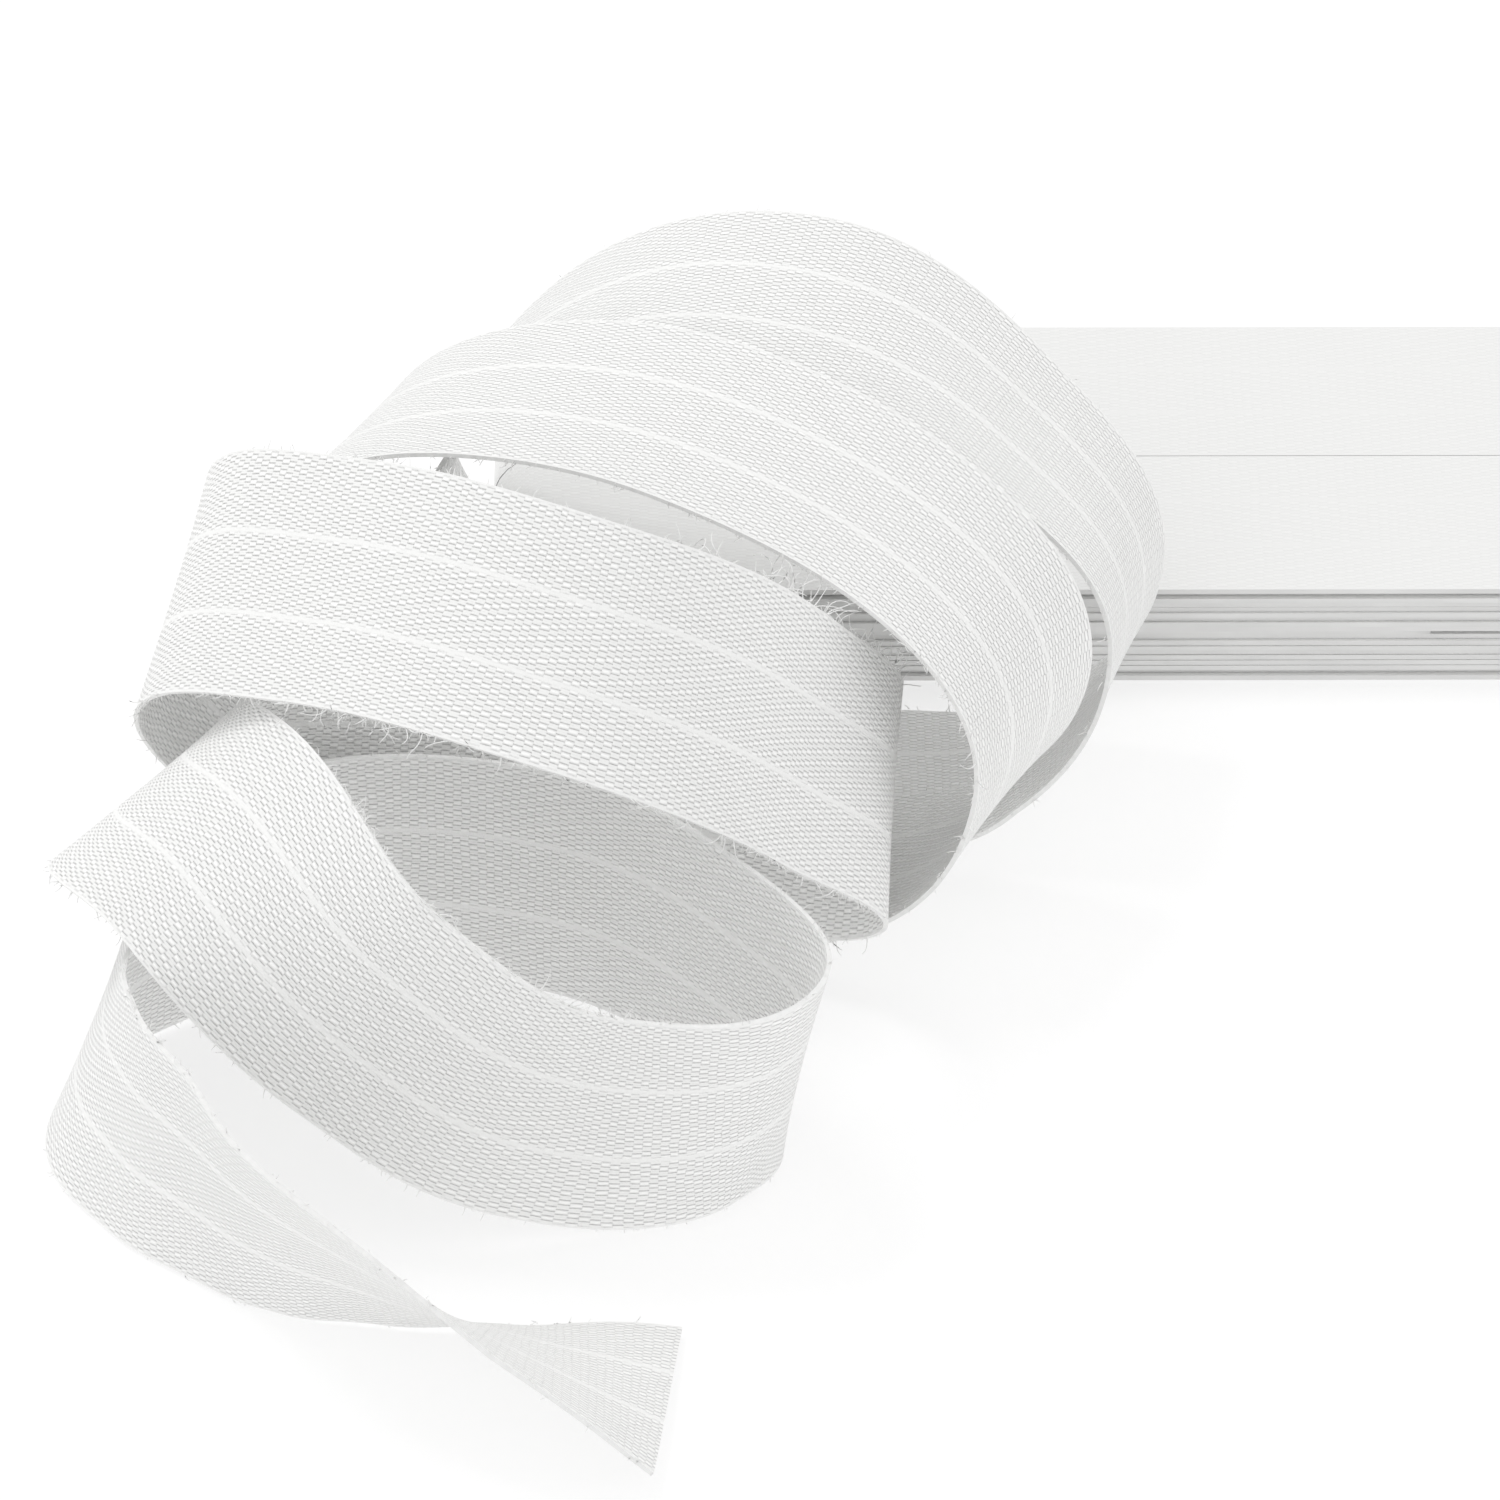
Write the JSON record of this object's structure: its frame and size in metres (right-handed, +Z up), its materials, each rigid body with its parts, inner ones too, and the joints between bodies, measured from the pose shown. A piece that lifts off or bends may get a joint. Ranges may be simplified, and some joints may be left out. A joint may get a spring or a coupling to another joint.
{
  "type": "roll of seam tape",
  "caption": "Flat-wound roll of white cotton herringbone seam tape, lying flat, with its loose end falling forward in open loops.",
  "frame": {"origin": "centre of the whole roll's footprint, on the surface it lies on", "axes": "+Z up; +Y from the cut end of the loose tape towards the bolt; +X along the bolt, from the fold the loose tape leaves to its other fold"},
  "size_m": [0.132, 0.1528, 0.0485],
  "materials": {
    "cotton_tape": "bleached white cotton herringbone twill, matt"
  },
  "bodies": {
    "root": {"bolt": "cotton_tape", "loose_tape": "cotton_tape"}
  },
  "joints": []
}
